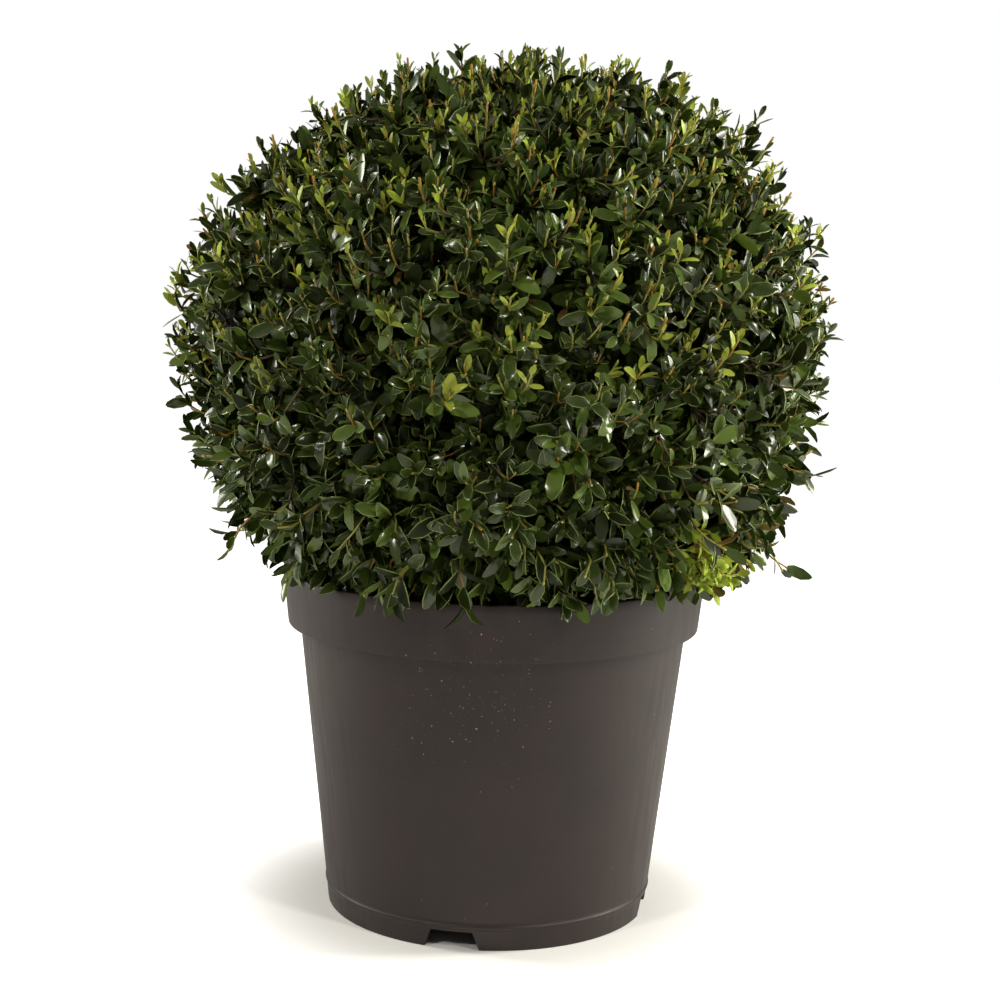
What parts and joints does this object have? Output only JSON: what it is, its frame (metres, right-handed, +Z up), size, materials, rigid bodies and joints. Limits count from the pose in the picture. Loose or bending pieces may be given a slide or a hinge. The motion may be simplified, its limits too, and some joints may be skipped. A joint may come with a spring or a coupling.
{
  "type": "box topiary ball in a pot",
  "caption": "Clipped round evergreen box shrub with small oval leaves, growing in a tapered plastic nursery pot with a stepped rim band and a notched foot.",
  "frame": {"origin": "on the ground at the pot's axis, level with the flat underside of the pot's foot", "axes": "+Z up along the pot's axis, -Y towards the plant's front, +X to the right seen from the front"},
  "size_m": [0.5027, 0.4942, 0.6449],
  "materials": {
    "pot_plastic": "satin",
    "soil": "matte",
    "bark": "matte",
    "foliage": "satin"
  },
  "bodies": {
    "root": {"pot_wall": "pot_plastic", "pot_base": "pot_plastic", "potting_soil": "soil", "main_stem": "bark", "crown": "foliage"}
  },
  "joints": []
}
